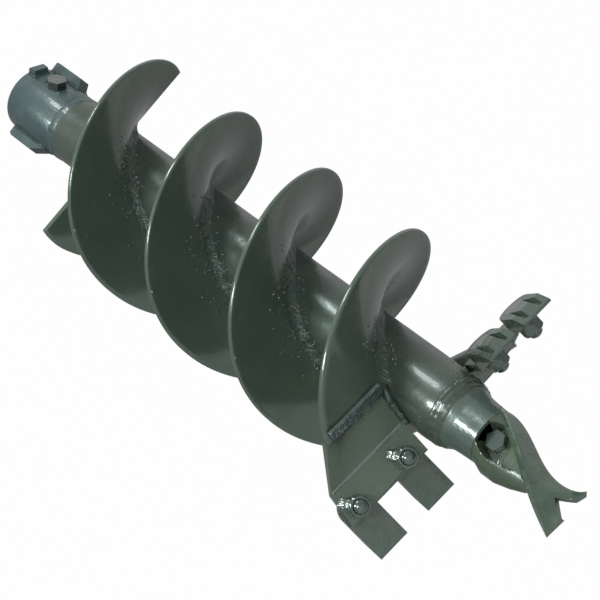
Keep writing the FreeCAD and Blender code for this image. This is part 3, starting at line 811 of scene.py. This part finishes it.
KEPT = {  # node: material, width of its rounded edges in mm
    "drive_hub": (PAINT_HUB, 0.8), "guard_bars": (PAINT_HUB, 1.2),
    "guard_lugs": (PAINT_HUB, 1.2), "pilot_socket": (PAINT_SOCKET, 0.8),
    "pilot_blade": (PAINT_BLADE, 0.7), "tooth_holder_a": (PAINT_PLATE, 0.9),
    "tooth_holder_b": (PAINT_PLATE, 0.9), "tooth_a_inner": (PAINT_TOOTH, 0.7),
    "tooth_a_outer": (PAINT_TOOTH, 0.7), "tooth_b_inner": (PAINT_TOOTH, 0.7),
    "tooth_b_outer": (PAINT_TOOTH, 0.7), "drive_bolt": (PAINT_BOLT, 1.4),
    "drive_nut": (PAINT_BOLT, 1.2), "tooth_bolts": (PAINT_FAST, 0.5),
    "pilot_bolt": (PAINT_FAST, 0.5), "pilot_nut": (PAINT_FAST, 0.5),
}
for name, (material, width) in KEPT.items():
    paint(name, material)
    soften(name, width)
REPLACED = [row[0] for row in FLIGHTS] + ["hub_weld", "nose_weld", "tooth_nuts", "core_tube",
                                          "nose_cone"]
for name in REPLACED:
    paint(name, PAINT)


# ------------------------------------------------------------------ floor, world and lights
FLOOR_HALF, FLOOR_Z = 14000.0, -3000.0      # mm


def make_floor():
    """Plain pale floor, well below the hanging bit."""
    verts = [(x * FLOOR_HALF, y * FLOOR_HALF, FLOOR_Z)
             for x, y in ((-1, -1), (1, -1), (1, 1), (-1, 1))]
    mat = bpy.data.materials.new("floor")
    mat.use_nodes = True
    shader = mat.node_tree.nodes["Principled BSDF"]
    shader.inputs["Base Color"].default_value = (0.90, 0.90, 0.88, 1)
    shader.inputs["Roughness"].default_value = 0.9
    obj = make_mesh("floor", verts, [(0, 1, 2, 3)], mat, smooth=False)


SKY_PEAK, SKY_LEVEL = 2.5, 0.62      # brightness of a full stop, share of it that is used
SKY = (  # height towards +X (-1..1 mapped to 0..1), brightness
    (0.00, 0.30), (0.25, 0.62), (0.50, 0.90), (0.60, 1.45), (0.80, 1.50), (1.00, 1.20),
)


def make_world():
    """Pale background for the camera; a soft neutral gradient lights everything else."""
    world = bpy.data.worlds.new("studio")
    bpy.context.scene.world = world
    world.use_nodes = True
    tree = world.node_tree
    tree.nodes.clear()
    where = tree.nodes.new("ShaderNodeTexCoord")
    split = tree.nodes.new("ShaderNodeSeparateXYZ")
    tree.links.new(where.outputs["Generated"], split.inputs["Vector"])
    scale = tree.nodes.new("ShaderNodeMapRange")
    scale.inputs["From Min"].default_value = -1.0
    tree.links.new(split.outputs["X"], scale.inputs["Value"])
    ramp = tree.nodes.new("ShaderNodeValToRGB")
    tree.links.new(scale.outputs["Result"], ramp.inputs["Fac"])
    stops = ramp.color_ramp.elements
    while len(stops) < len(SKY):
        stops.new(0.5)
    for stop, (place, bright) in zip(stops, SKY):
        stop.position = place
        stop.color = (*[bright / SKY_PEAK] * 3, 1)
    glow = tree.nodes.new("ShaderNodeBackground")
    glow.inputs["Strength"].default_value = SKY_PEAK * SKY_LEVEL
    tree.links.new(ramp.outputs["Color"], glow.inputs["Color"])
    pale = tree.nodes.new("ShaderNodeBackground")
    pale.inputs["Color"].default_value = (1, 1, 1, 1)
    pale.inputs["Strength"].default_value = 0.99
    rays = tree.nodes.new("ShaderNodeLightPath")
    mix = tree.nodes.new("ShaderNodeMixShader")
    tree.links.new(rays.outputs["Is Camera Ray"], mix.inputs["Fac"])
    tree.links.new(glow.outputs["Background"], mix.inputs[1])
    tree.links.new(pale.outputs["Background"], mix.inputs[2])
    out = tree.nodes.new("ShaderNodeOutputWorld")
    tree.links.new(mix.outputs["Shader"], out.inputs["Surface"])


AIM = Vector((0, 0, -0.42))         # middle of the bit, metres
LAMP_DISTANCE = 4.0
LAMPS = (  # name, direction from the bit, diameter in metres, watts
    ("key", (0.30, -0.90, 0.30), 0.9, 130),
    ("low", (0.45, -0.85, -0.25), 0.9, 90),
    ("top", (0.80, -0.30, 0.52), 1.0, 70),
)


def point_light(obj, direction):
    """Turn a light so that it shines from direction."""
    obj.rotation_mode = "QUATERNION"
    obj.rotation_quaternion = direction.to_track_quat("Z", "Y")


def area_light(name, direction, size, power):
    """Soft round neutral light."""
    data = bpy.data.lights.new(name, "AREA")
    data.shape = "DISK"
    data.size = size
    data.energy = power
    obj = link(bpy.data.objects.new(name, data))
    toward = Vector(direction).normalized()
    obj.location = AIM + toward * LAMP_DISTANCE
    point_light(obj, toward)


def fill_sun(name, direction, strength, spread):
    """Very broad neutral light without a place; spread in degrees."""
    data = bpy.data.lights.new(name, "SUN")
    data.energy = strength
    data.angle = math.radians(spread)
    point_light(link(bpy.data.objects.new(name, data)), Vector(direction))


make_camera()
make_floor()
make_world()
for lamp in LAMPS:
    area_light(*lamp)
fill_sun("fill", (-0.15, -0.10, -1.0), 2.0, 70)
bpy.context.scene.view_settings.view_transform = "Standard"
